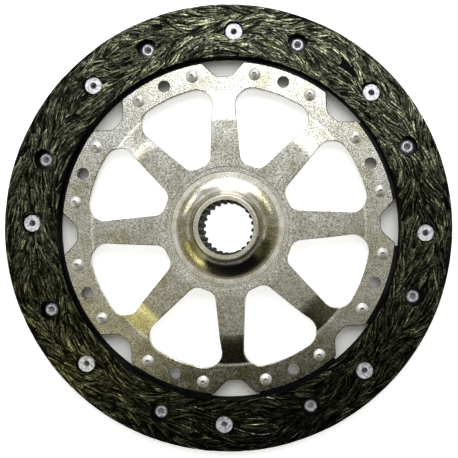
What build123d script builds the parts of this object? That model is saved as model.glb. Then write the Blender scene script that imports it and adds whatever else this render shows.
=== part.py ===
from build123d import *

import os
from math import asin, cos, degrees, radians, sin, sqrt, tan

# Rigid clutch disc with an internally splined hub.
# The rear friction face lies on z = 0, the axis is +Z, and +X runs along the middle of a spoke.

# ---- Driving dimensions, in millimetres and degrees ----
DISC_DIAMETER = 240.0
FACING_INNER_RADIUS = 92.2
FACING_THICKNESS = 3.4
FACING_EDGE_CHAMFER = 0.3
CUSHION_GAP = 1.0  # free distance between the two facings
SEGMENT_THICKNESS = 0.6
WEB_THICKNESS = 3.0
CRANK_RISE = 5.0  # how far the spokes stand above the rim of the web
HUB_TOP = 20.5
HUB_BOTTOM = 0.6

SPOKE_COUNT = 8
PITCH = 360.0 / SPOKE_COUNT
HALF_PITCH = PITCH / 2

# Facing rivets: one set of heads in each facing, with the flared tails in the other.
FACING_RIVET_CIRCLE = 105.9
FRONT_HEAD_ANGLE = -3.5  # from the middle of a spoke
COUNTERBORE_DIAMETER = 10.3
COUNTERBORE_FLOOR = 1.2
FACING_RIVET_HEAD_DIAMETER = 9.2
FACING_RIVET_HEAD_THICKNESS = 0.9
FACING_RIVET_HEAD_CHAMFER = 0.25
FACING_RIVET_SHANK_DIAMETER = 4.8
FACING_RIVET_BORE_DIAMETER = 3.4
FACING_RIVET_TAIL_DIAMETER = 6.7
FACING_RIVET_TAIL_HEIGHT = 0.9

# Segment rivets and locating holes in the lobes of the web.
LOBE_RIVET_CIRCLE = 83.8
LOBE_RIVET_ANGLE = 10.9  # either side of the middle of a lobe
LOBE_RIVET_HEAD_DIAMETER = 6.5
LOBE_RIVET_HEAD_HEIGHT = 1.7
LOBE_RIVET_TAIL_HEIGHT = 1.3
LOBE_RIVET_RIM_HEIGHT = 0.3  # upright edge under the dome
LOBE_RIVET_SHANK_DIAMETER = 4.0
LOBE_RIVET_DIMPLE_RADIUS = 0.9
LOBE_RIVET_DIMPLE_DEPTH = 0.35
LOCATING_HOLE_DIAMETER = 6.5

# Web outline, seen along the axis.
WEB_OUTER_RADIUS = 89.8
WEB_BORE_RADIUS = 30.2
NOTCH_BOTTOM_RADIUS = 81.7
NOTCH_MOUTH_ANGLE = 7.3  # half of the opening
NOTCH_FLANK_ANGLE = 45.0
NOTCH_CORNER_RADIUS = 5.5
LOBE_CORNER_RADIUS = 2.0
WINDOW_OUTER_RADIUS = 76.5
WINDOW_INNER_RADIUS = 35.0
SPOKE_HALF_WIDTH_INNER = 7.5
SPOKE_HALF_WIDTH_OUTER = 6.05
SPOKE_INNER_STATION = 45.0
SPOKE_OUTER_STATION = 66.0
WINDOW_OUTER_CORNER = 9.0
WINDOW_INNER_CORNER = 6.0

# Web section: crank, bend radii and the shallow land round the hub.
CRANK_FOOT_RADIUS = 73.6
CRANK_HEAD_RADIUS = 60.6
CRANK_HEAD_BEND = 19.5
CRANK_FOOT_BEND = 4.0
LAND_RADIUS = 32.4
LAND_DEPTH = 0.3
WEB_EDGE_CHAMFER = 0.4

# Hub section.
COLLAR_RADIUS = 16.8
COLLAR_EDGE_ROUND = 0.6
COLLAR_FOOT_RADIUS = 18.9
TRUMPET_RADIUS = 10.7  # of the concave flank, which takes up nearly all of the collar's height
HUB_FLANGE_RADIUS = 33.0
HUB_FLANGE_THICKNESS = 2.8
REAR_BOSS_RADIUS = 20.5
REAR_BOSS_FILLET = 2.0
REAR_BOSS_CHAMFER = 0.8
JOINT_GROOVE_WIDTH = 0.4
JOINT_GROOVE_DEPTH = 0.7

# Internal spline.
SPLINE_TEETH = 24
SPLINE_MINOR_DIAMETER = 26.2
SPLINE_MAJOR_DIAMETER = 28.5
SPLINE_SPACE_AT_MINOR = 2.2
SPLINE_SPACE_AT_MAJOR = 1.3
SPLINE_LEAD_RADIUS = 14.4

# Cushion segment.
SEGMENT_HALF_ANGLE = 21.9
SEGMENT_OUTER_RADIUS = 118.6
WING_INNER_RADIUS = 93.2
TONGUE_HALF_ANGLE = 14.4
TONGUE_INNER_RADIUS = 78.6
TONGUE_CORNER_RADIUS = 2.5
TONGUE_OVERLAP = 1.0  # how far the tongue runs on under the wings
PAD_HALF_WIDTH = 12.0
WAVE_RAMP = 5.0

# ---- Levels that follow from them ----
DISC_RADIUS = DISC_DIAMETER / 2
REAR_FACING_TOP = FACING_THICKNESS
FRONT_FACING_BOTTOM = REAR_FACING_TOP + CUSHION_GAP
LOW_PAD_TOP = REAR_FACING_TOP + SEGMENT_THICKNESS
HIGH_PAD_BOTTOM = FRONT_FACING_BOTTOM - SEGMENT_THICKNESS
RIM_BOTTOM = LOW_PAD_TOP
RIM_TOP = RIM_BOTTOM + WEB_THICKNESS
SPOKE_TOP = RIM_TOP + CRANK_RISE
SPOKE_BOTTOM = SPOKE_TOP - WEB_THICKNESS
THROUGH = 4 * HUB_TOP  # length of a cut that goes through everything

SPOKE_ANGLES = [PITCH * k for k in range(SPOKE_COUNT)]
LOBE_ANGLES = [HALF_PITCH + angle for angle in SPOKE_ANGLES]
FRONT_HEAD_ANGLES = [FRONT_HEAD_ANGLE + PITCH + angle for angle in SPOKE_ANGLES]
LOBE_RIVET_ANGLES = [angle + side * LOBE_RIVET_ANGLE for angle in LOBE_ANGLES for side in (-1, 1)]


def on_circle(radius, angle, height=0.0):
    """Location on a circle round the axis, turned so that its X points outward."""
    return Rot(0, 0, angle) * Pos(radius, 0, height)


def drill(radius, angle, diameter):
    """Cylinder along Z that cuts a hole through anything."""
    return on_circle(radius, angle) * Cylinder(diameter / 2, THROUGH)


def polar(radius, angle):
    return (radius * cos(radians(angle)), radius * sin(radians(angle)))


def turned(section):
    """Solid of revolution round Z from a face drawn as radius and height."""
    return revolve(Plane.XZ * section, Axis.Z)


def round_corners(section, corners):
    """Fillet the corners of a face. Each is ((x, y), radius)."""
    for place, radius in corners:
        corner = section.vertices().sort_by_distance((*place, 0))[0]
        section = fillet(corner, radius)
    return section


# ---- Facings ----
def facing(bottom, head_angles, tail_angles, head_side):
    """Friction ring. head_side is 1 with the rivet heads on its upper side and -1 on its lower side."""
    middle = bottom + FACING_THICKNESS / 2
    friction_face = middle + head_side * FACING_THICKNESS / 2
    ring = Cylinder(DISC_RADIUS, FACING_THICKNESS) - Cylinder(FACING_INNER_RADIUS, FACING_THICKNESS)
    ring = Pos(0, 0, middle) * ring
    rims = ring.edges().filter_by(GeomType.CIRCLE).filter_by_position(Axis.Z, friction_face, friction_face)
    ring = chamfer(rims, FACING_EDGE_CHAMFER)
    for angle in tail_angles:
        ring -= drill(FACING_RIVET_CIRCLE, angle, COUNTERBORE_DIAMETER)
    for angle in head_angles:
        counterbore = Cylinder(COUNTERBORE_DIAMETER / 2, FACING_THICKNESS)
        ring -= on_circle(FACING_RIVET_CIRCLE, angle, middle + head_side * COUNTERBORE_FLOOR) * counterbore
        ring -= drill(FACING_RIVET_CIRCLE, angle, FACING_RIVET_SHANK_DIAMETER)
    return ring


# ---- Web ----
def web_section():
    """Section of the cranked plate, as radius and height."""
    slope = CRANK_RISE / (CRANK_FOOT_RADIUS - CRANK_HEAD_RADIUS)
    tangent_of_half = (sqrt(1 + slope**2) - 1) / slope
    shift = WEB_THICKNESS * tangent_of_half
    head = (CRANK_HEAD_RADIUS, SPOKE_TOP)
    foot = (CRANK_FOOT_RADIUS, RIM_TOP)
    head_rear = (CRANK_HEAD_RADIUS - shift, SPOKE_BOTTOM)
    foot_rear = (CRANK_FOOT_RADIUS - shift, RIM_BOTTOM)
    outline = Polyline(
        (WEB_BORE_RADIUS, SPOKE_BOTTOM),
        head_rear,
        foot_rear,
        (WEB_OUTER_RADIUS, RIM_BOTTOM),
        (WEB_OUTER_RADIUS, RIM_TOP),
        foot,
        head,
        (LAND_RADIUS + LAND_DEPTH, SPOKE_TOP),
        (LAND_RADIUS, SPOKE_TOP - LAND_DEPTH),
        (WEB_BORE_RADIUS, SPOKE_TOP - LAND_DEPTH),
        close=True,
    )
    bends = (
        (head, CRANK_HEAD_BEND),
        (head_rear, CRANK_HEAD_BEND - WEB_THICKNESS),
        (foot, CRANK_FOOT_BEND),
        (foot_rear, CRANK_FOOT_BEND + WEB_THICKNESS),
    )
    return round_corners(make_face(outline), bends)


def spoke_half_width(radius):
    taper = (SPOKE_HALF_WIDTH_OUTER - SPOKE_HALF_WIDTH_INNER) / (SPOKE_OUTER_STATION - SPOKE_INNER_STATION)
    return SPOKE_HALF_WIDTH_INNER + taper * (radius - SPOKE_INNER_STATION)


def window_corner(radius, side):
    """Where a side of a window meets a circle, with the middle of the window on +X."""
    angle = HALF_PITCH - degrees(asin(spoke_half_width(radius) / radius))
    return polar(radius, side * angle)


def window_sketch():
    """One window between two spokes, with its middle on +X."""
    outer = [window_corner(WINDOW_OUTER_RADIUS, side) for side in (-1, 1)]
    inner = [window_corner(WINDOW_INNER_RADIUS, side) for side in (1, -1)]
    outline = [
        ThreePointArc(outer[0], (WINDOW_OUTER_RADIUS, 0), outer[1]),
        Line(outer[1], inner[0]),
        ThreePointArc(inner[0], (WINDOW_INNER_RADIUS, 0), inner[1]),
        Line(inner[1], outer[0]),
    ]
    corners = [(place, WINDOW_OUTER_CORNER) for place in outer]
    corners += [(place, WINDOW_INNER_CORNER) for place in inner]
    return round_corners(make_face(outline), corners)


def notch_sketch():
    """One notch at the end of a spoke, with its middle on +X."""
    mouth_x, mouth_y = polar(WEB_OUTER_RADIUS, NOTCH_MOUTH_ANGLE)
    flank = tan(radians(NOTCH_FLANK_ANGLE))
    beyond = WEB_OUTER_RADIUS + NOTCH_CORNER_RADIUS
    bottom_y = mouth_y - flank * (mouth_x - NOTCH_BOTTOM_RADIUS)
    beyond_y = mouth_y + flank * (beyond - mouth_x)
    bottom = [(NOTCH_BOTTOM_RADIUS, side * bottom_y) for side in (1, -1)]
    outline = Polyline((beyond, -beyond_y), (beyond, beyond_y), *bottom, close=True)
    return round_corners(make_face(outline), [(place, NOTCH_CORNER_RADIUS) for place in bottom])


def web_plan():
    """Outline of the web with its notches, windows and holes."""
    plan = Circle(WEB_OUTER_RADIUS) - Circle(WEB_BORE_RADIUS)
    for angle in SPOKE_ANGLES:
        plan -= Rot(0, 0, angle) * notch_sketch()
    lobe_corners = [v for v in plan.vertices() if abs(Vector(*v).length - WEB_OUTER_RADIUS) < 1e-3]
    plan = fillet(lobe_corners, LOBE_CORNER_RADIUS)
    for angle in LOBE_ANGLES:
        plan -= Rot(0, 0, angle) * window_sketch()
        plan -= on_circle(LOBE_RIVET_CIRCLE, angle) * Circle(LOCATING_HOLE_DIAMETER / 2)
    for angle in LOBE_RIVET_ANGLES:
        plan -= on_circle(LOBE_RIVET_CIRCLE, angle) * Circle(LOBE_RIVET_SHANK_DIAMETER / 2)
    return plan


def web():
    """Pressed plate: the cranked section turned round the axis, trimmed to the plan, with broken edges."""
    plate = turned(web_section()) & extrude(web_plan(), THROUGH)
    walls = plate.faces().filter_by(lambda face: abs(face.normal_at().Z) < 0.01)
    surfaces = plate.faces().filter_by(lambda face: abs(face.normal_at().Z) > 0.3)
    outline = walls.edges() & surfaces.edges()
    return chamfer([edge for edge in outline if not edge.is_closed], WEB_EDGE_CHAMFER)


# ---- Hub ----
def hub_section():
    """Section of the hub blank out to its flange, as radius and height."""
    bore = SPLINE_MINOR_DIAMETER / 2
    lead = SPLINE_LEAD_RADIUS - bore
    spigot = WEB_BORE_RADIUS
    groove_wall = spigot - JOINT_GROOVE_WIDTH
    foot = SPOKE_TOP - LAND_DEPTH
    flange_bottom = SPOKE_BOTTOM - HUB_FLANGE_THICKNESS
    collar_foot = (COLLAR_FOOT_RADIUS, foot)
    collar_edge = (COLLAR_RADIUS, HUB_TOP)
    boss_root = (REAR_BOSS_RADIUS, flange_bottom)
    outline = Polyline(
        (bore, HUB_BOTTOM + lead),
        (bore, HUB_TOP - lead),
        (bore + lead, HUB_TOP),
        collar_edge,
        collar_foot,
        (groove_wall, foot),
        (groove_wall, foot - JOINT_GROOVE_DEPTH),
        (spigot, foot - JOINT_GROOVE_DEPTH),
        (spigot, SPOKE_BOTTOM),
        (HUB_FLANGE_RADIUS, SPOKE_BOTTOM),
        (HUB_FLANGE_RADIUS, flange_bottom),
        boss_root,
        (REAR_BOSS_RADIUS, HUB_BOTTOM + REAR_BOSS_CHAMFER),
        (REAR_BOSS_RADIUS - REAR_BOSS_CHAMFER, HUB_BOTTOM),
        (bore + lead, HUB_BOTTOM),
        close=True,
    )
    corners = (
        (collar_foot, TRUMPET_RADIUS),
        (collar_edge, COLLAR_EDGE_ROUND),
        (boss_root, REAR_BOSS_FILLET),
    )
    return round_corners(make_face(outline), corners)


def spline_space():
    """Cutter for one space between two spline teeth, with its middle on +X."""
    minor = SPLINE_MINOR_DIAMETER / 2
    major = SPLINE_MAJOR_DIAMETER / 2
    overlap = 0.5  # how far the cutter reaches into the open bore
    flare = overlap * (SPLINE_SPACE_AT_MINOR - SPLINE_SPACE_AT_MAJOR) / (major - minor)
    mouth = SPLINE_SPACE_AT_MINOR + flare
    profile = Polyline(
        (minor - overlap, -mouth / 2),
        (major, -SPLINE_SPACE_AT_MAJOR / 2),
        (major, SPLINE_SPACE_AT_MAJOR / 2),
        (minor - overlap, mouth / 2),
        close=True,
    )
    return make_face(profile)


def splined_hub():
    spaces = Sketch() + [Rot(0, 0, 360 / SPLINE_TEETH * k) * spline_space() for k in range(SPLINE_TEETH)]
    return turned(hub_section()) - extrude(spaces, THROUGH)


# ---- Cushion segments ----
def sector(inner, outer, half_angle):
    """Part of a ring, with its middle on +X."""
    start, end = polar(outer, -half_angle), polar(outer, half_angle)
    inner_start, inner_end = polar(inner, half_angle), polar(inner, -half_angle)
    outline = [
        ThreePointArc(start, (outer, 0), end),
        Line(end, inner_start),
        ThreePointArc(inner_start, (inner, 0), inner_end),
        Line(inner_end, start),
    ]
    return make_face(outline)


def wave_section():
    """Section of the wings across the segment: low in the middle and high at both ends."""
    foot = PAD_HALF_WIDTH
    head = foot + WAVE_RAMP
    end = SEGMENT_OUTER_RADIUS * sin(radians(SEGMENT_HALF_ANGLE)) + 1
    lower = [(-end, HIGH_PAD_BOTTOM), (-head, HIGH_PAD_BOTTOM), (-foot, REAR_FACING_TOP)]
    lower += [(-y, z) for y, z in reversed(lower)]
    upper = [(y, z + SEGMENT_THICKNESS) for y, z in reversed(lower)]
    return make_face(Polyline(*lower, *upper, close=True))


def cushion_segment():
    """Waved spring-steel leaf, with the middle of its tongue on +X."""
    tongue = sector(TONGUE_INNER_RADIUS, WING_INNER_RADIUS + TONGUE_OVERLAP, TONGUE_HALF_ANGLE)
    inner_corners = tongue.vertices().sort_by_distance((0, 0, 0))[:2]
    tongue = fillet(inner_corners, TONGUE_CORNER_RADIUS)
    tongue = Pos(0, 0, REAR_FACING_TOP) * extrude(tongue, SEGMENT_THICKNESS)
    wings = extrude(Plane.YZ * wave_section(), SEGMENT_OUTER_RADIUS)
    wings &= extrude(sector(WING_INNER_RADIUS, SEGMENT_OUTER_RADIUS, SEGMENT_HALF_ANGLE), THROUGH)
    leaf = tongue + wings
    for angle in (0, HALF_PITCH + FRONT_HEAD_ANGLE):
        leaf -= drill(FACING_RIVET_CIRCLE, angle, FACING_RIVET_SHANK_DIAMETER)
    for angle in (-LOBE_RIVET_ANGLE, LOBE_RIVET_ANGLE):
        leaf -= drill(LOBE_RIVET_CIRCLE, angle, LOBE_RIVET_SHANK_DIAMETER)
    return leaf - drill(LOBE_RIVET_CIRCLE, 0, LOCATING_HOLE_DIAMETER)


# ---- Rivets ----
def facing_rivet(grip):
    """Tubular rivet, flat head up. The head seats at z = 0 and the tail rolls out below grip."""
    bore = FACING_RIVET_BORE_DIAMETER / 2
    shank = FACING_RIVET_SHANK_DIAMETER / 2
    head = FACING_RIVET_HEAD_DIAMETER / 2
    tail = FACING_RIVET_TAIL_DIAMETER / 2
    head_top = FACING_RIVET_HEAD_THICKNESS
    tail_end = -grip - FACING_RIVET_TAIL_HEIGHT
    wall = shank - bore
    outline = Polyline(
        (bore, head_top),
        (head - FACING_RIVET_HEAD_CHAMFER, head_top),
        (head, head_top - FACING_RIVET_HEAD_CHAMFER),
        (head, 0),
        (shank, 0),
        (shank, -grip),
        (tail, -grip),
        (tail, -grip - wall / 2),
        (tail - wall, tail_end),
        (bore + wall / 2, tail_end),
        (bore, tail_end + wall),
        close=True,
    )
    return turned(make_face(outline))


def dome(base, rise):
    """Arc of a spherical cap, from the dimple to the edge at height base. A negative rise points down."""
    head = LOBE_RIVET_HEAD_DIAMETER / 2
    ball = (head**2 + rise**2) / (2 * abs(rise))
    side = rise / abs(rise)

    def surface(radius):
        return (radius, base + rise - side * (ball - sqrt(ball**2 - radius**2)))

    return ThreePointArc(surface(LOBE_RIVET_DIMPLE_RADIUS), surface(head / 2), surface(head))


def lobe_rivet():
    """Domed rivet through a lobe of the web and the tongue of a segment, with a lower dome behind."""
    head = LOBE_RIVET_HEAD_DIAMETER / 2
    shank = LOBE_RIVET_SHANK_DIAMETER / 2
    shoulder = RIM_TOP + LOBE_RIVET_RIM_HEIGHT
    tail_shoulder = REAR_FACING_TOP - LOBE_RIVET_RIM_HEIGHT
    crown = dome(shoulder, LOBE_RIVET_HEAD_HEIGHT - LOBE_RIVET_RIM_HEIGHT)
    tail_crown = dome(tail_shoulder, LOBE_RIVET_RIM_HEIGHT - LOBE_RIVET_TAIL_HEIGHT)
    dimple = (0, (crown @ 0).Y - LOBE_RIVET_DIMPLE_DEPTH)
    tail_dimple = (0, (tail_crown @ 0).Y + LOBE_RIVET_DIMPLE_DEPTH)
    sides = Polyline(
        (head, shoulder),
        (head, RIM_TOP),
        (shank, RIM_TOP),
        (shank, REAR_FACING_TOP),
        (head, REAR_FACING_TOP),
        (head, tail_shoulder),
    )
    core = Polyline(crown @ 0, dimple, tail_dimple, tail_crown @ 0)
    return turned(make_face([*core.edges(), *sides.edges(), crown, tail_crown]))


# ---- Assembly ----
def pieces():
    """Every separate piece by name, in place."""
    made = {
        "splined_hub": splined_hub(),
        "spoked_web": web(),
        "front_facing": facing(FRONT_FACING_BOTTOM, FRONT_HEAD_ANGLES, LOBE_ANGLES, 1),
        "rear_facing": facing(0, LOBE_ANGLES, FRONT_HEAD_ANGLES, -1),
    }
    segment = cushion_segment()
    front_seat = FRONT_FACING_BOTTOM + COUNTERBORE_FLOOR
    rear_seat = REAR_FACING_TOP - COUNTERBORE_FLOOR
    rivet = facing_rivet(COUNTERBORE_FLOOR + SEGMENT_THICKNESS)
    rear_rivet = Rot(180, 0, 0) * rivet
    for k in range(SPOKE_COUNT):
        number = k + 1
        front_place = on_circle(FACING_RIVET_CIRCLE, FRONT_HEAD_ANGLES[k], front_seat)
        rear_place = on_circle(FACING_RIVET_CIRCLE, LOBE_ANGLES[k], rear_seat)
        made[f"cushion_segment_{number}"] = Rot(0, 0, LOBE_ANGLES[k]) * segment
        made[f"front_facing_rivet_{number}"] = front_place * rivet
        made[f"rear_facing_rivet_{number}"] = rear_place * rear_rivet
    small_rivet = lobe_rivet()
    for k, angle in enumerate(LOBE_RIVET_ANGLES):
        made[f"segment_rivet_{k + 1}"] = on_circle(LOBE_RIVET_CIRCLE, angle) * small_rivet
    return made


os.makedirs("parts", exist_ok=True)
for name, shape in pieces().items():
    shape.label = name
    export_step(shape, f"parts/{name}.step")
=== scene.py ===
import random
from math import atan2, cos, hypot, pi, radians, sin

import bpy
from mathutils import Matrix, Vector


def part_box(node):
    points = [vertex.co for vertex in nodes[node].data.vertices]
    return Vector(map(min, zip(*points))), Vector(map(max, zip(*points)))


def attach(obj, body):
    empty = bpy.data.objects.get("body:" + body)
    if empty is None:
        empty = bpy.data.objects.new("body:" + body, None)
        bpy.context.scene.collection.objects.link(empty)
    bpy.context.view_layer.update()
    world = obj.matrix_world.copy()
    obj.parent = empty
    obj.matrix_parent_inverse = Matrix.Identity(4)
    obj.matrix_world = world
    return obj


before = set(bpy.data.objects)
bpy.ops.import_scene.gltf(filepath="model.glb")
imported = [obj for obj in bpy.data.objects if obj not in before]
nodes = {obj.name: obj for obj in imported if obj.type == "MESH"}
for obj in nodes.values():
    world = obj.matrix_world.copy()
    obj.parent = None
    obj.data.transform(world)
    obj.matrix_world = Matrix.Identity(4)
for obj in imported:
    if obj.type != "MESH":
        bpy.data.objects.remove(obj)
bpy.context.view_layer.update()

# Dresses the clutch disc: blasted and forged steel, wound-yarn friction facings and plated rivets.
# All lengths are in metres. The disc lies on its rear friction face, with its axis along +Z.

MM = 0.001

# ---- Places read from the frame ----
_, front_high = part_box("front_facing")
rear_low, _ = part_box("rear_facing")
FRONT_FACE = front_high.z
REAR_FACE = rear_low.z
DISC_RADIUS = front_high.x

# ---- Driving dimensions that the boxes don't give ----
FACING_INNER_RADIUS = 92.2 * MM
RIVET_CIRCLE = 105.9 * MM
COUNTERBORE_RADIUS = 5.15 * MM
LOBE_RIVET_CIRCLE = 83.8 * MM
LOBE_RIVET_ANGLE = 10.9  # either side of the middle of a lobe
CRANK_FOOT_RADIUS = 73.6 * MM
# Inner edge of the floor's unlifted ring, which is painted shade under the facings and notches.
SHADED_FLOOR_RADIUS = 79.5 * MM
SPOKE_COUNT = 8
PITCH = 360 / SPOKE_COUNT
FRONT_HEAD_ANGLE = -3.5
LOBE_ANGLE = PITCH / 2
# Middle radii of the bands of hub and web whose finish differs, or that carry painted shade, from the bore
# outwards.
SHADED_BORE_RADIUS = 12.3 * MM
COLLAR_RING_RADIUS = 15.6 * MM
FLANK_RADIUS = 20.5 * MM
FLANGE_RING_RADIUS = 28.6 * MM
WEB_SEAT_RADIUS = 31.5 * MM

# ---- Camera: straight above, a little off the axis, with the picture plane parallel to the disc ----
IMAGE_SIDE = 458.0  # in pixels, as the next two are
DISC_IMAGE_DIAMETER = 447.6
DISC_IMAGE_CENTRE = (228.7, 228.0)
CAMERA_HEIGHT = 312 * MM  # above the front friction face
CAMERA_OFFSET = (0.12, -0.02)  # right and up in the picture, as shares of the height
CAMERA_ROLL = radians(-2.1)
SENSOR_WIDTH = 36.0
NEAREST_SEEN = 10 * MM


def make_camera():
    view_width = 2 * DISC_RADIUS * IMAGE_SIDE / DISC_IMAGE_DIAMETER
    data = bpy.data.cameras.new("camera")
    data.sensor_width = SENSOR_WIDTH
    data.lens = SENSOR_WIDTH * CAMERA_HEIGHT / view_width
    offset_x, offset_y = (share * CAMERA_HEIGHT for share in CAMERA_OFFSET)
    data.shift_x = -offset_x / view_width - (DISC_IMAGE_CENTRE[0] / IMAGE_SIDE - 0.5)
    data.shift_y = -offset_y / view_width - (0.5 - DISC_IMAGE_CENTRE[1] / IMAGE_SIDE)
    data.clip_start = NEAREST_SEEN
    camera = bpy.data.objects.new("camera", data)
    place = Matrix.Rotation(CAMERA_ROLL, 4, "Z") @ Vector((offset_x, offset_y, 0))
    camera.location = (place.x, place.y, FRONT_FACE + CAMERA_HEIGHT)
    camera.rotation_euler = (0, 0, CAMERA_ROLL)
    bpy.context.scene.collection.objects.link(camera)
    bpy.context.scene.camera = camera


# ---- Light: a window beyond the top of the picture, in two parts, and a weak glint on the left ----
WHITE = (1.0, 1.0, 1.0)
# Each lamp is (azimuth, elevation, distance, width, height, power, colour). Angles are in degrees.
LAMPS = {
    "window_top": (80, 56, 0.85, 0.90, 0.46, 3.8, WHITE),
    "window_foot": (86, 24, 1.00, 0.66, 0.72, 3.2, WHITE),
    "left_glint": (149, 40, 0.80, 0.22, 0.26, 0.7, WHITE),
}
GLINTS = ("left_glint",)  # shows in the metal's reflections, and lights nothing
# Colour of the room's light by how far a direction leans to the top of the picture, from -1 to 1.
WORLD_COLOURS = [(-0.34, (0.10, 0.095, 0.07)), (-0.12, (0.47, 0.44, 0.34)), (0.0, (0.57, 0.56, 0.51)),
                 (0.2, (0.61, 0.61, 0.60))]

# Cards that only reflections see, where the room beside the disc is dark or yellowish.
# Each is (azimuth, distance, left, right, foot, head, colour), with left and right measured along the card.
CARDS = {
    "dark_card": (270, 0.150, -0.14, 0.13, -0.01, 0.54, (0.004, 0.004, 0.004)),
    "olive_card": (270, 0.150, 0.13, 0.42, -0.01, 0.54, (0.10, 0.10, 0.05)),
    "warm_card_foot": (217, 0.300, -0.13, 0.11, -0.01, 0.14, (0.34, 0.32, 0.13)),
    "warm_card_middle": (217, 0.300, -0.13, 0.11, 0.14, 0.36, (1.50, 1.38, 0.66)),
    "warm_card_gap": (217, 0.300, -0.13, 0.11, 0.36, 0.50, (0.20, 0.19, 0.11)),
    "warm_card_head": (217, 0.300, -0.13, 0.11, 0.50, 0.90, (0.60, 0.56, 0.38)),
}


def make_lamp(name, azimuth, elevation, distance, width, height, power, colour):
    """Rectangular area lamp that faces the disc's middle."""
    data = bpy.data.lights.new(name, "AREA")
    data.shape = "RECTANGLE"
    data.size = width
    data.size_y = height
    data.energy = power
    data.color = colour
    lamp = bpy.data.objects.new(name, data)
    turn = radians(azimuth)
    level = distance * cos(radians(elevation))
    lamp.location = (level * cos(turn), level * sin(turn), distance * sin(radians(elevation)))
    lamp.rotation_euler = (-lamp.location).to_track_quat("-Z", "Y").to_euler()
    lamp.visible_diffuse = name not in GLINTS
    bpy.context.scene.collection.objects.link(lamp)


def fill_ramp(ramp, stops):
    """Gives a colour ramp its stops, each (position, (r, g, b))."""
    elements = ramp.color_ramp.elements
    while len(elements) < len(stops):
        elements.new(1.0)
    for element, (position, colour) in zip(elements, stops):
        element.position = position
        element.color = (*colour, 1)


def make_light():
    """The lamps, and a world whose colour changes from the bottom of the picture to its top."""
    for name, values in LAMPS.items():
        make_lamp(name, *values)
    world = bpy.data.worlds.new("studio")
    world.use_nodes = True
    tree = world.node_tree
    lean = tree.nodes.new("ShaderNodeSeparateXYZ")
    tree.links.new(tree.nodes.new("ShaderNodeTexCoord").outputs["Generated"], lean.inputs[0])
    share = tree.nodes.new("ShaderNodeMapRange")
    share.inputs["From Min"].default_value = -1.0
    tree.links.new(lean.outputs["Y"], share.inputs["Value"])
    ramp = tree.nodes.new("ShaderNodeValToRGB")
    fill_ramp(ramp, [((place + 1) / 2, colour) for place, colour in WORLD_COLOURS])
    tree.links.new(share.outputs["Result"], ramp.inputs["Fac"])
    tree.links.new(ramp.outputs["Color"], tree.nodes["Background"].inputs["Color"])
    bpy.context.scene.world = world


def make_stage_piece(name, points, faces, material):
    """A mesh that isn't part of the object."""
    mesh = bpy.data.meshes.new(name)
    mesh.from_pydata(points, [], faces)
    mesh.materials.append(material)
    piece = bpy.data.objects.new(name, mesh)
    bpy.context.scene.collection.objects.link(piece)
    return piece


def make_card(name, azimuth, distance, left, right, foot, head, colour):
    """Upright card that faces the disc's axis."""
    out = Vector((cos(radians(azimuth)), sin(radians(azimuth)), 0))
    along = Vector((-out.y, out.x, 0))
    corners = [(side, z) for z in (foot, head) for side in (left, right)]
    points = [out * distance + along * side + Vector((0, 0, z)) for side, z in corners]
    card = make_stage_piece(name, points, [(0, 1, 3, 2)], card_paint(name, colour))
    card.visible_camera = False
    card.visible_diffuse = False
    card.visible_shadow = False


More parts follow.
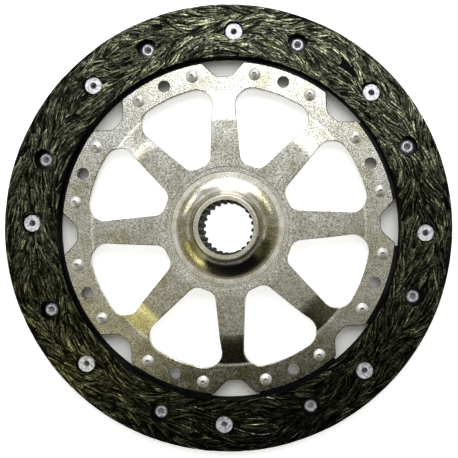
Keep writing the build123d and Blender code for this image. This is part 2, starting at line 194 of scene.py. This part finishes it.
# ---- Node graphs ----
class Graph:
    """Shader graph of one material, with short calls for the nodes that the materials share."""

    def __init__(self, name):
        self.material = bpy.data.materials.new(name)
        self.material.use_nodes = True
        self.tree = self.material.node_tree
        self.shader = self.tree.nodes["Principled BSDF"]
        self.place = self.node("ShaderNodeTexCoord").outputs["Object"]

    def node(self, kind, inputs=None, **settings):
        made = self.tree.nodes.new(kind)
        for key, value in settings.items():
            setattr(made, key, value)
        for key, value in (inputs or {}).items():
            self.feed(made.inputs[key], value)
        return made

    def feed(self, socket, value):
        if isinstance(value, bpy.types.NodeSocket):
            self.tree.links.new(value, socket)
        else:
            socket.default_value = value

    def set(self, **values):
        """Sets or links sockets of the Principled shader. An underscore stands for a space."""
        for key, value in values.items():
            self.feed(self.shader.inputs[key.replace("_", " ")], value)

    def noise(self, size, detail=3.0, roughness=0.55, distortion=0.0, place=None):
        """Noise whose features are about size across, in metres."""
        inputs = {"Vector": place or self.place, "Scale": 1 / size, "Detail": detail,
                  "Roughness": roughness, "Distortion": distortion}
        return self.node("ShaderNodeTexNoise", inputs).outputs["Fac"]

    def stretched(self, scale):
        """The place, scaled along each axis."""
        inputs = {"Vector": self.place, "Scale": scale}
        return self.node("ShaderNodeMapping", inputs).outputs["Vector"]

    def ramp(self, factor, stops):
        """Colours by factor. Each stop is (position, (r, g, b))."""
        made = self.node("ShaderNodeValToRGB", {"Fac": factor})
        fill_ramp(made, stops)
        return made.outputs["Color"]

    def span(self, factor, low, high, from_low=0.3, from_high=0.7):
        """low where factor is from_low or less, high where it is from_high or more, and even between them."""
        inputs = {"Value": factor, "From Min": from_low, "From Max": from_high, "To Min": low, "To Max": high}
        return self.node("ShaderNodeMapRange", inputs).outputs["Result"]

    def multiply(self, colour, *others):
        """Colours multiplied together."""
        for other in others:
            inputs = {0: 1.0, 6: colour, 7: other}
            colour = self.node("ShaderNodeMix", inputs, data_type="RGBA", blend_type="MULTIPLY").outputs[2]
        return colour

    def math(self, operation, *values):
        return self.node("ShaderNodeMath", dict(enumerate(values)), operation=operation).outputs[0]

    def add(self, first, second):
        return self.math("ADD", first, second)

    def product(self, first, second):
        return self.math("MULTIPLY", first, second)

    def length(self, vector):
        return self.node("ShaderNodeVectorMath", {0: vector}, operation="LENGTH").outputs["Value"]

    def along(self, direction):
        """How far the place lies along a direction."""
        inputs = {0: self.place, 1: direction}
        return self.node("ShaderNodeVectorMath", inputs, operation="DOT_PRODUCT").outputs["Value"]

    def radius(self):
        """Distance from the disc's axis."""
        inputs = {0: self.place, 1: (1, 1, 0)}
        return self.length(self.node("ShaderNodeVectorMath", inputs, operation="MULTIPLY").outputs[0])

    def near(self, away, half_width, soft):
        """1 where away is half_width or less, fading to 0 over soft."""
        return self.span(away, 1.0, 0.0, half_width, half_width + soft)

    def band(self, radius, half_width, soft):
        """1 within half_width of a circle about the disc's axis, fading to 0 over soft."""
        away = self.math("ABSOLUTE", self.math("SUBTRACT", self.radius(), radius))
        return self.near(away, half_width, soft)

    def lobe_rivet_spot(self, half_width, soft):
        """1 within half_width of each domed rivet's middle, fading to 0 over soft."""
        parts = self.node("ShaderNodeSeparateXYZ", {0: self.place}).outputs
        folded = self.math("PINGPONG", self.math("ARCTAN2", parts["Y"], parts["X"]), radians(LOBE_ANGLE))
        beside = self.math("SUBTRACT", folded, radians(LOBE_ANGLE - LOBE_RIVET_ANGLE))
        across = self.math("SUBTRACT", self.radius(), LOBE_RIVET_CIRCLE)
        aside = self.product(beside, LOBE_RIVET_CIRCLE)
        spot = self.node("ShaderNodeCombineXYZ", {0: across, 1: aside}).outputs[0]
        return self.near(self.length(spot), half_width, soft)

    def rings(self, spacing, distortion):
        """Turning marks: fine rings round the disc's axis."""
        inputs = {"Vector": self.place, "Scale": pi / (10 * spacing), "Distortion": distortion,
                  "Detail": 2.0, "Detail Scale": 60.0}
        return self.node("ShaderNodeTexWave", inputs, wave_type="RINGS", rings_direction="Z").outputs["Fac"]

    def bump(self, height, strength, distance):
        """Normal for a relief whose height of 1 stands for distance, in metres."""
        inputs = {"Height": height, "Strength": strength, "Distance": distance}
        return self.node("ShaderNodeBump", inputs).outputs["Normal"]


# ---- Materials. Colours are linear, and a multiplied layer changes nothing where it is WHITE ----
GRAIN = 0.65 * MM  # size of the blasted metal's speckle
STAIN = 14 * MM  # size of its stains
SHADED_BELOW = (54 * MM, 74 * MM)  # how far down the picture the web's painted shade begins, and where it is full
DIMMED_BESIDE = (13 * MM, 19 * MM)  # the same for the painted dim olive reflection on the hub's flank, to either side of its middle


def web_steel():
    """Pressed, blasted plate: speckled beige, olive stains, painted shade lower down, matt and a painted
    highlight at the crank's foot, matt by the hub.
    """
    g = Graph("web_steel")
    grain = g.noise(GRAIN, detail=2.0, roughness=0.7)
    stain = g.noise(STAIN, detail=5.0, roughness=0.62, distortion=0.6)
    tint = g.ramp(stain, [(0.34, (0.56, 0.54, 0.42)), (0.46, (0.74, 0.73, 0.67)), (0.62, (0.84, 0.84, 0.82))])
    speckle = g.ramp(grain, [(0.38, (0.34, 0.34, 0.30)), (0.60, WHITE)])
    pits = g.noise(GRAIN * 2.6, detail=2.0)
    relief = g.add(grain, g.product(pits, 1.4))
    # Painted highlight: a lighter line along the crank's foot, where the plate is also matt.
    foot_highlight_mask = g.product(g.band(CRANK_FOOT_RADIUS, 0.45 * MM, 0.6 * MM), g.span(stain, 0.6, 1.0))
    seat = g.product(g.band(WEB_SEAT_RADIUS, 2.0 * MM, 4 * MM), 0.9)
    metal = g.span(g.add(g.product(foot_highlight_mask, 1.5), seat), 1.0, 0.45, 0.0, 1.0)
    painted_highlight = g.ramp(foot_highlight_mask, [(0.2, WHITE), (1.0, (1.25, 1.25, 1.25))])
    # Painted shade: dark olive patches that grow towards the bottom of the picture, kept off the crank's
    # foot.
    patchiness = g.noise(4.5 * MM, detail=4.0, roughness=0.65, distortion=0.5)
    below = g.span(g.along((0, -1, 0)), 0.0, 1.0, *SHADED_BELOW)
    darkening_mask = g.product(g.product(below, g.span(patchiness, 0.0, 1.0, 0.40, 0.60)), g.span(foot_highlight_mask, 1.0, 0.0))
    painted_darkening = g.ramp(darkening_mask, [(0.0, WHITE), (1.0, (0.52, 0.50, 0.33))])
    g.set(Base_Color=g.multiply(tint, speckle, painted_darkening, painted_highlight), Metallic=metal,
          Roughness=g.span(grain, 0.19, 0.31), Normal=g.bump(relief, 0.33, 0.08 * MM))
    return g.material


def hub_steel():
    """Turned hub: smoother than the web, with a painted dim olive reflection on the flank's sides and painted
    shade in the bore.
    """
    g = Graph("hub_steel")
    grain = g.noise(GRAIN * 0.8, detail=2.0, roughness=0.65)
    stain = g.noise(9 * MM, detail=5.0, roughness=0.6, distortion=0.8)
    tint = g.ramp(stain, [(0.36, (0.60, 0.57, 0.47)), (0.50, (0.76, 0.75, 0.70)), (0.64, (0.88, 0.87, 0.84))])
    speckle = g.ramp(grain, [(0.34, (0.62, 0.60, 0.54)), (0.60, WHITE)])
    # Painted reflection: the flank's sides are darkened to a dim olive, speckled by the grain.
    beside = g.span(g.math("ABSOLUTE", g.along((1, 0, 0))), 0.0, 1.0, *DIMMED_BESIDE)
    flank_sides = g.product(beside, g.band(FLANK_RADIUS, 5.2 * MM, 2 * MM))
    darkening_mask = g.product(flank_sides, g.span(grain, 1.0, 0.45, 0.40, 0.60))
    painted_darkening = g.ramp(darkening_mask, [(0.0, WHITE), (1.0, (0.32, 0.30, 0.16))])
    # Painted shade: the bore's wall is near black, standing for the shade inside the bore.
    bore = g.band(SHADED_BORE_RADIUS, 1.9 * MM, 0.3 * MM)
    bore_shade = g.ramp(bore, [(0.0, WHITE), (1.0, (0.04, 0.04, 0.03))])
    collar_ring = g.product(g.band(COLLAR_RING_RADIUS, 1.0 * MM, 0.4 * MM), 0.5)
    turned = g.add(g.band(FLANGE_RING_RADIUS, 1.1 * MM, 0.4 * MM), collar_ring)
    metal = g.product(g.span(turned, 1.0, 0.72, 0.0, 1.0), g.span(bore, 1.0, 0.0, 0.0, 1.0))
    relief = g.add(g.product(g.rings(0.45 * MM, 1.2), 0.5), grain)
    rough = g.add(g.span(stain, 0.20, 0.12), g.add(g.product(turned, 0.25), g.product(bore, 0.6)))
    g.set(Base_Color=g.multiply(tint, speckle, painted_darkening, bore_shade), Metallic=metal, Roughness=rough,
          Specular_IOR_Level=0.15, Normal=g.bump(relief, 0.35, 0.05 * MM))
    return g.material


def spring_steel():
    """Hardened and tempered spring strip with rolling marks, painted near black with a slight blue cast as
    shade in the gap.
    """
    g = Graph("spring_steel")
    rolled = g.noise(0.5 * MM, detail=2.0, place=g.stretched((1.0, 0.12, 1.0)))
    blotches = g.noise(11 * MM, detail=3.0)
    # Painted shade: the strip is near black, standing for the shade in the gap between web and facing.
    tint = g.ramp(blotches, [(0.35, (0.012, 0.012, 0.015)), (0.65, (0.028, 0.028, 0.032))])
    g.set(Base_Color=tint, Metallic=0.95, Roughness=g.span(rolled, 0.30, 0.48),
          Normal=g.bump(rolled, 0.3, 0.03 * MM))
    return g.material


def plated_rivet():
    """Bright zinc plate with a faint blue cast, dulled in patches."""
    g = Graph("plated_rivet")
    dull = g.noise(1.6 * MM, detail=3.0)
    tint = g.ramp(dull, [(0.38, (0.42, 0.43, 0.52)), (0.60, (0.90, 0.91, 0.94))])
    scratches = g.noise(0.35 * MM, detail=2.0)
    g.set(Base_Color=tint, Metallic=0.35, Roughness=g.span(dull, 0.30, 0.46),
          Normal=g.bump(scratches, 0.4, 0.05 * MM))
    return g.material


def steel_rivet():
    """Domed rivet of plain steel, with painted shade in the dimple that the setting tool left in its middle.
    """
    g = Graph("steel_rivet")
    grain = g.noise(0.45 * MM, detail=2.0, roughness=0.65)
    stain = g.noise(2.4 * MM, detail=3.0)
    tint = g.ramp(stain, [(0.36, (0.50, 0.49, 0.44)), (0.64, (0.80, 0.80, 0.78))])
    # Painted shade: darker in the dimple in the rivet's middle.
    dimple_shade = g.ramp(g.lobe_rivet_spot(0.9 * MM, 0.7 * MM), [(0.0, WHITE), (1.0, (0.38, 0.39, 0.42))])
    g.set(Base_Color=g.multiply(tint, dimple_shade), Metallic=0.5, Roughness=g.span(grain, 0.30, 0.42),
          Normal=g.bump(grain, 0.25, 0.04 * MM))
    return g.material


def facing_resin():
    """Dark resin and wound yarn ends of the friction facing."""
    g = Graph("facing_resin")
    layers = g.noise(1.4 * MM, detail=4.0, roughness=0.7, place=g.stretched((0.35, 0.35, 2.2)))
    crumbs = g.noise(0.6 * MM, detail=3.0, roughness=0.7)
    tint = g.ramp(layers, [(0.40, (0.003, 0.003, 0.003)), (0.60, (0.006, 0.006, 0.005)),
                           (0.72, (0.018, 0.018, 0.013))])
    speckle = g.ramp(crumbs, [(0.40, (0.35, 0.35, 0.32)), (0.66, WHITE)])
    relief = g.add(layers, g.product(crumbs, 0.6))
    g.set(Base_Color=g.multiply(tint, speckle), Roughness=g.span(crumbs, 0.70, 0.92), Specular_IOR_Level=0.06,
          Normal=g.bump(relief, 0.8, 0.18 * MM))
    return g.material


def facing_yarn():
    """Yarn at the friction face: a tone for each strand, painted shade in the grooves between its fibres,
    painted highlight on their crests, and resin clots.
    """
    g = Graph("facing_yarn")
    tone = g.node("ShaderNodeAttribute", attribute_name=TONE).outputs["Fac"]
    place = g.node("ShaderNodeAttribute", attribute_name=FIBRE).outputs["Vector"]
    fibres = g.noise(0.85 * MM, detail=3.0, roughness=0.6, place=place)
    clots = g.noise(1.3 * MM, detail=4.0, roughness=0.75)
    tint = g.ramp(tone, [(0.0, (0.004, 0.004, 0.003)), (0.40, (0.030, 0.032, 0.022)),
                         (1.0, (0.112, 0.118, 0.081))])
    mottle = g.ramp(clots, [(0.40, (0.35, 0.35, 0.32)), (0.50, (1.0, 1.0, 0.95)), (0.62, (2.0, 2.0, 1.9))])
    # Painted shade in the hollows between fibres, and a painted highlight on their crests.
    fibre_shade = g.ramp(fibres, [(0.43, (0.015, 0.015, 0.015)), (0.54, (0.6, 0.6, 0.6)),
                              (0.67, (3.2, 3.2, 3.1))])
    relief = g.add(fibres, g.product(clots, 0.30))
    g.set(Base_Color=g.multiply(tint, mottle, fibre_shade), Metallic=0.92, Roughness=g.span(clots, 0.33, 0.23),
          Specular_IOR_Level=0.2, Normal=g.bump(relief, 0.45, 0.22 * MM))
    return g.material


def card_paint(name, colour):
    """Even glow of one colour."""
    g = Graph(name)
    g.set(Base_Color=(0, 0, 0, 1), Roughness=1.0, Specular_IOR_Level=0.0, Emission_Color=(*colour, 1),
          Emission_Strength=1.0)
    return g.material


def floor_paint(lift):
    """Pale floor, lifted for the camera and reflections: more under the bore as a painted pool of light, and
    not under the facings and notches, as painted shade.
    """
    g = Graph("floor_paint")
    path = g.node("ShaderNodeLightPath").outputs
    seen = g.add(g.add(path["Is Camera Ray"], path["Is Glossy Ray"]), path["Is Transmission Ray"])
    middle = (SHADED_FLOOR_RADIUS + DISC_RADIUS) / 2
    half_width = (DISC_RADIUS - SHADED_FLOOR_RADIUS) / 2
    # Painted shade: the ring of floor under the facings and notches gets no lift.
    lifted_beyond_ring = g.span(g.band(middle, half_width - 1.5 * MM, 1 * MM), 1.0, 0.0, 0.0, 1.0)
    # Painted light: extra lift under the bore, where the hub's shade falls.
    bore_light_pool = g.product(g.band(0.0, BORE_LIGHT_POOL_RADIUS, 4 * MM), BORE_LIGHT_POOL_SHARE)
    share = g.add(lifted_beyond_ring, bore_light_pool)
    g.set(Base_Color=(0.90, 0.90, 0.90, 1), Roughness=0.9, Specular_IOR_Level=0.0,
          Emission_Color=(1, 1, 1, 1), Emission_Strength=g.product(g.product(seen, share), lift))
    return g.material


# ---- Floor, which turns up into a low wall so that no horizon shows ----
FLOOR_RADIUS = 3.0
WALL_HEIGHT = 0.75
FLOOR_SIDES = 48
FLOOR_LIFT = 0.62
BORE_LIGHT_POOL_RADIUS = 15 * MM
BORE_LIGHT_POOL_SHARE = 0.5  # share of the lift that is added under the bore, as a painted pool of light


def make_floor(height):
    """Round floor with its wall, open at the top."""
    turns = [2 * pi * k / FLOOR_SIDES for k in range(FLOOR_SIDES)]
    rim = [(FLOOR_RADIUS * cos(turn), FLOOR_RADIUS * sin(turn)) for turn in turns]
    points = [(x, y, height) for x, y in rim] + [(x, y, height + WALL_HEIGHT) for x, y in rim]
    faces = [tuple(range(FLOOR_SIDES))]
    for k in range(FLOOR_SIDES):
        beside = (k + 1) % FLOOR_SIDES
        faces.append((beside, k, k + FLOOR_SIDES, beside + FLOOR_SIDES))
    make_stage_piece("floor", points, faces, floor_paint(FLOOR_LIFT))


# ---- Yarn of the facings ----
TONE = "strand_tone"
FIBRE = "fibre_place"
FRONT_SEED = 11
REAR_SEED = 23
STRAND_COUNT = 2900
STRAND_LENGTH = (10 * MM, 18 * MM)
STRAND_WIDTH = (2.2 * MM, 4.2 * MM)
STRAND_TONE = (0.30, 1.0)
STRAND_HEIGHT = (0.12 * MM, 0.36 * MM)
SHOULDER_SHARE = 0.75  # of the strand's width that its flat top takes
# Corners of a strand's section, as shares of its width from its middle: two at the foot, two at the top.
CORNERS = (-0.5, 0.5, 0.5 * SHOULDER_SHARE, -0.5 * SHOULDER_SHARE)
FIBRE_STRETCH = 0.085  # shrinks the way along a strand, so that noise over it draws long fibres
STRAND_FOOT_SHADE_SHARE = 0.35  # share of a strand's tone that is left at its foot, as painted shade in the grooves beside it
STRAND_SINK = 0.04 * MM  # how deep a strand's edges sit in the resin
STRAND_STEPS = 6
FEWEST_STEPS = 3
END_ROOM = 0.8  # steps from a strand's end to where its taper would come to nothing
TAPER_POWER = 0.4
EDGE_MARGIN = 0.12 * MM  # kept free between the yarn and the face's edges
FACE_MIDDLE = (FACING_INNER_RADIUS + DISC_RADIUS) / 2
FACE_HALF_WIDTH = (DISC_RADIUS - FACING_INNER_RADIUS) / 2
OVERRUN = 1.0 * MM  # how far a strand may pass an edge before it is trimmed
HOLE_SHARE = 0.16  # of the strands, which start close round a rivet hole, where the winding alone leaves gaps
HOLE_ROUND = (4.5 * MM, 8.0 * MM)
STRAND_LEAN = radians(9)  # spread of the strands about the winding
# Waves of the winding. Each is (lean, waves round the circle, twist from mid-face to outer edge, phase).
WAVES = [(radians(21), 5, 2.4, 0.0), (radians(12), 13, -3.1, 1.3)]


def rivet_centres():
    angles = [PITCH * k + offset for k in range(SPOKE_COUNT) for offset in (FRONT_HEAD_ANGLE, LOBE_ANGLE)]
    return [Vector((RIVET_CIRCLE * cos(radians(a)), RIVET_CIRCLE * sin(radians(a)))) for a in angles]


RIVET_CENTRES = rivet_centres()


def on_facing(x, y):
    """Whether a point is on the friction face, or past an edge or hole by no more than OVERRUN."""
    radius = (x * x + y * y) ** 0.5
    if not FACING_INNER_RADIUS - OVERRUN < radius < DISC_RADIUS + OVERRUN:
        return False
    reach = COUNTERBORE_RADIUS - OVERRUN
    return all((x - cx) ** 2 + (y - cy) ** 2 > reach * reach for cx, cy in RIVET_CENTRES)


def winding(angle, share):
    """Lean of the yarn against the circle, in radians. share is -1 at the inner edge and 1 at the outer."""
    return sum(lean * sin(count * angle + twist * share + phase) for lean, count, twist, phase in WAVES)


def walk(x, y, lean, step, most):
    """Up to most points along the winding from a place on the face. A negative step walks backwards."""
    line = []
    while len(line) < most and on_facing(x, y):
        line.append(Vector((x, y)))
        angle = atan2(y, x)
        heading = angle + pi / 2 + winding(angle, (hypot(x, y) - FACE_MIDDLE) / FACE_HALF_WIDTH) + lean
        x += step * cos(heading)
        y += step * sin(heading)
    return line


def strand_line(rng):
    """Middle line of a strand through a random place. What an edge cuts off ahead of it is added behind."""
    radius = FACE_MIDDLE + FACE_HALF_WIDTH * rng.uniform(-1, 1)
    angle = rng.uniform(0, 2 * pi)
    x, y = radius * cos(angle), radius * sin(angle)
    if rng.random() < HOLE_SHARE:
        centre = rng.choice(RIVET_CENTRES)
        off = rng.uniform(*HOLE_ROUND)
        x, y = centre.x + off * cos(angle), centre.y + off * sin(angle)
    lean = rng.gauss(0, STRAND_LEAN)
    step = rng.uniform(*STRAND_LENGTH) / (STRAND_STEPS - 1)
    ahead = walk(x, y, lean, step, STRAND_STEPS)
    behind = walk(x, y, lean, -step, STRAND_STEPS + 1 - len(ahead))
    return behind[:0:-1] + ahead


def trimmed(place):
    """Moves a place that overhangs the face's edges or a rivet hole back to the edge."""
    inner, outer = FACING_INNER_RADIUS + EDGE_MARGIN, DISC_RADIUS - EDGE_MARGIN
    place = place * (min(max(place.length, inner), outer) / place.length)
    for centre in RIVET_CENTRES:
        off = place - centre
        if off.length < COUNTERBORE_RADIUS + EDGE_MARGIN:
            return centre + off.normalized() * (COUNTERBORE_RADIUS + EDGE_MARGIN)
    return place


def add_strand(points, faces, line, width, height, face, up):
    """Adds a closed strand along line, its foot in the resin. Gives the number of its steps."""
    first = len(points)
    last = len(line) - 1
    base = face - up * STRAND_SINK
    rise = height + STRAND_SINK
    section = list(zip(CORNERS, (0, 0, rise, rise)))
    sides = len(section)
    for k, spot in enumerate(line):
        ahead = line[min(k + 1, last)] - line[max(k - 1, 0)]
        aside = Vector((-ahead.y, ahead.x)).normalized()
        taper = sin(pi * (k + END_ROOM) / (last + 2 * END_ROOM)) ** TAPER_POWER
        for share, lift in section:
            place = trimmed(spot + aside * (share * width * taper))
            points.append((place.x, place.y, base + up * lift * taper))
    for k in range(last):
        for side in range(sides):
            a, b = first + sides * k + side, first + sides * k + (side + 1) % sides
            faces.append((a, b, b + sides, a + sides) if up > 0 else (a, a + sides, b + sides, b))
    start = tuple(first + side for side in range(sides))
    end = tuple(first + sides * last + side for side in range(sides))
    faces.append(start[::-1] if up > 0 else start)
    faces.append(end if up > 0 else end[::-1])
    return last + 1


def make_yarn(name, face, up, seed, material):
    """Strands over one friction face. up is 1 for the front face and -1 for the rear one."""
    rng = random.Random(seed)
    points, faces, tones, fibre_places = [], [], [], []
    for _ in range(STRAND_COUNT):
        line = strand_line(rng)
        width = rng.uniform(*STRAND_WIDTH)
        height = rng.uniform(*STRAND_HEIGHT)
        tone = rng.uniform(*STRAND_TONE)
        if len(line) < FEWEST_STEPS:
            continue
        steps = add_strand(points, faces, line, width, height, face, up)
        # Painted shade: a strand's foot is darker than its top.
        strand_foot_shade = tone * STRAND_FOOT_SHADE_SHARE
        tones += [strand_foot_shade, strand_foot_shade, tone, tone] * steps
        start = rng.uniform(0, 1)
        reach = (line[1] - line[0]).length * FIBRE_STRETCH
        for k in range(steps):
            for share in CORNERS:
                fibre_places += [start + k * reach, share * width, start]
    mesh = bpy.data.meshes.new(name)
    mesh.from_pydata(points, [], faces)
    mesh.attributes.new(TONE, "FLOAT", "POINT").data.foreach_set("value", tones)
    mesh.attributes.new(FIBRE, "FLOAT_VECTOR", "POINT").data.foreach_set("vector", fibre_places)
    mesh.materials.append(material)
    mesh.validate()
    piece = bpy.data.objects.new(name, mesh)
    bpy.context.scene.collection.objects.link(piece)
    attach(piece, "root")


# ---- Dressing ----
def dress(names, material):
    """Gives the CAD nodes a material."""
    for name in names:
        for material_slot in nodes[name].material_slots:
            material_slot.material = material


def named(prefix):
    """Names of the CAD nodes that start with prefix."""
    return [name for name in nodes if name.startswith(prefix)]


make_camera()
make_light()
make_floor(REAR_FACE - STRAND_HEIGHT[1])
for card, values in CARDS.items():
    make_card(card, *values)
dress(["spoked_web"], web_steel())
dress(["splined_hub"], hub_steel())
dress(named("cushion_segment_"), spring_steel())
dress(named("front_facing_rivet_") + named("rear_facing_rivet_"), plated_rivet())
dress(named("segment_rivet_"), steel_rivet())
dress(["front_facing", "rear_facing"], facing_resin())
yarn = facing_yarn()
make_yarn("front_facing_yarn", FRONT_FACE, 1, FRONT_SEED, yarn)
make_yarn("rear_facing_yarn", REAR_FACE, -1, REAR_SEED, yarn)

bpy.context.scene.view_settings.view_transform = "Standard"
